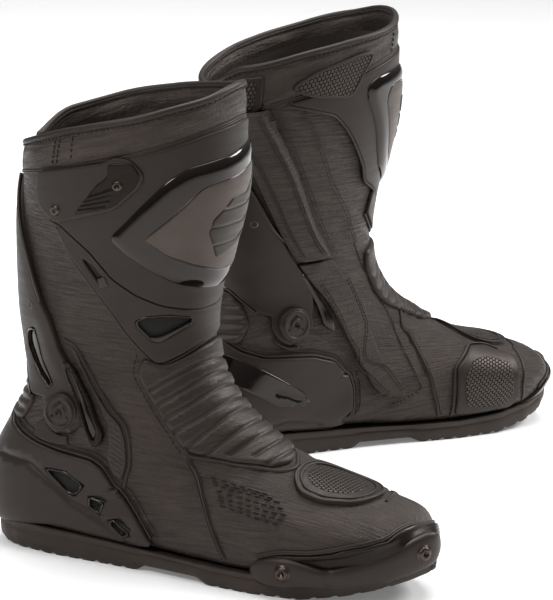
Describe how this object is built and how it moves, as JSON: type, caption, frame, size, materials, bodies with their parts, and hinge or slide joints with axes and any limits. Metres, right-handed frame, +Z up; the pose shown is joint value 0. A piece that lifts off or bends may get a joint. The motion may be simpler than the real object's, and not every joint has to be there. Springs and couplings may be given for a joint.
{
  "type": "pair of motorcycle riding boots",
  "caption": "Pair of tall sport motorcycle boots with armoured shin, ankle brace, heel cup, toe slider, ribbed stretch panels and a flap over an inner-side zip.",
  "frame": {"origin": "on the ground, midway between the two ankle centres", "axes": "+X is the wearer's forward, +Y the wearer's left, +Z up; the toes are turned out 30 degrees each"},
  "size_m": [0.4113, 0.5602, 0.3186],
  "materials": {
    "sole_rubber": "matte moulded rubber",
    "leather": "fine-grained black leather",
    "moulded_guard": "satin moulded plastic",
    "gloss_shell": "polished moulded plastic",
    "grey_insert": "satin grey plastic",
    "ribbed_panel": "ribbed rubber",
    "stretch_panel": "padded stretch panel",
    "lining": "knitted lining",
    "footbed": "felted footbed",
    "screws": "black-coated steel",
    "steel": "spring steel",
    "zip_coil": "nylon coil"
  },
  "bodies": {
    "right_foot": {"outsole_r": "sole_rubber", "shank_r": "steel", "insole_r": "footbed", "foot_upper_r": "leather", "toe_cap_r": "moulded_guard", "toe_patch_r": "ribbed_panel", "toe_slider_r": "moulded_guard", "slider_screws_r": "screws", "heel_cup_r": "moulded_guard", "shift_pad_r": "ribbed_panel", "instep_bellows_r": "stretch_panel", "achilles_bellows_r": "stretch_panel", "ankle_gusset_r": "leather", "flap_tail_r": "leather", "inner_bootie_r": "lining", "ankle_pivots_r": "steel"},
    "right_shaft": {"shaft_upper_r": "leather", "collar_r": "leather", "shin_plate_r": "moulded_guard", "shield_frame_r": "gloss_shell", "shield_insert_r": "grey_insert", "vent_plate_r": "moulded_guard", "plate_screws_r": "screws", "side_wing_r": "moulded_guard", "calf_plate_r": "moulded_guard", "rear_vent_r": "gloss_shell", "ankle_brace_r": "moulded_guard", "zip_track_r": "zip_coil"},
    "right_flap": {"closure_flap_r": "leather"},
    "right_zip_slider": {"zip_slider_r": "screws"},
    "left_foot": {"outsole_l": "sole_rubber", "shank_l": "steel", "insole_l": "footbed", "foot_upper_l": "leather", "toe_cap_l": "moulded_guard", "toe_patch_l": "ribbed_panel", "toe_slider_l": "moulded_guard", "slider_screws_l": "screws", "heel_cup_l": "moulded_guard", "shift_pad_l": "ribbed_panel", "instep_bellows_l": "stretch_panel", "achilles_bellows_l": "stretch_panel", "ankle_gusset_l": "leather", "flap_tail_l": "leather", "inner_bootie_l": "lining", "ankle_pivots_l": "steel"},
    "left_shaft": {"shaft_upper_l": "leather", "collar_l": "leather", "shin_plate_l": "moulded_guard", "shield_frame_l": "gloss_shell", "shield_insert_l": "grey_insert", "vent_plate_l": "moulded_guard", "plate_screws_l": "screws", "side_wing_l": "moulded_guard", "calf_plate_l": "moulded_guard", "rear_vent_l": "gloss_shell", "ankle_brace_l": "moulded_guard", "zip_track_l": "zip_coil"},
    "left_flap": {"closure_flap_l": "leather"},
    "left_zip_slider": {"zip_slider_l": "screws"}
  },
  "joints": [
    {"name": "right_ankle", "type": "hinge", "parent": "right_foot", "child": "right_shaft", "pos_m": [-0.06693, -0.131, 0.1], "axis": [0.5, 0.866, 0], "range_deg": [-10, 18], "deforming": ["instep_bellows_r", "achilles_bellows_r", "ankle_gusset_r", "flap_tail_r", "inner_bootie_r"]},
    {"name": "right_flap_hinge", "type": "hinge", "parent": "right_shaft", "child": "right_flap", "pos_m": [-0.04079, -0.08374, 0.211], "axis": [0.4048, -0.2504, -0.8795], "range_deg": [0, 100]},
    {"name": "right_zip", "type": "slide", "parent": "right_shaft", "child": "right_zip_slider", "axis": [0.2183, -0.126, -0.9677], "range_m": [0, 0.065]},
    {"name": "left_ankle", "type": "hinge", "parent": "left_foot", "child": "left_shaft", "pos_m": [0.05307, 0.131, 0.1], "axis": [-0.5, 0.866, 0], "range_deg": [-10, 18], "deforming": ["instep_bellows_l", "achilles_bellows_l", "ankle_gusset_l", "flap_tail_l", "inner_bootie_l"]},
    {"name": "left_flap_hinge", "type": "hinge", "parent": "left_shaft", "child": "left_flap", "pos_m": [0.07921, 0.08374, 0.211], "axis": [-0.4048, -0.2504, 0.8795], "range_deg": [0, 100]},
    {"name": "left_zip", "type": "slide", "parent": "left_shaft", "child": "left_zip_slider", "axis": [0.2183, 0.126, -0.9677], "range_m": [0, 0.065]},
    {"name": "left_boot_lift", "type": "slide", "parent": "right_foot", "child": "left_foot", "axis": [0, 0, 1], "range_m": [0, 0.45]}
  ]
}
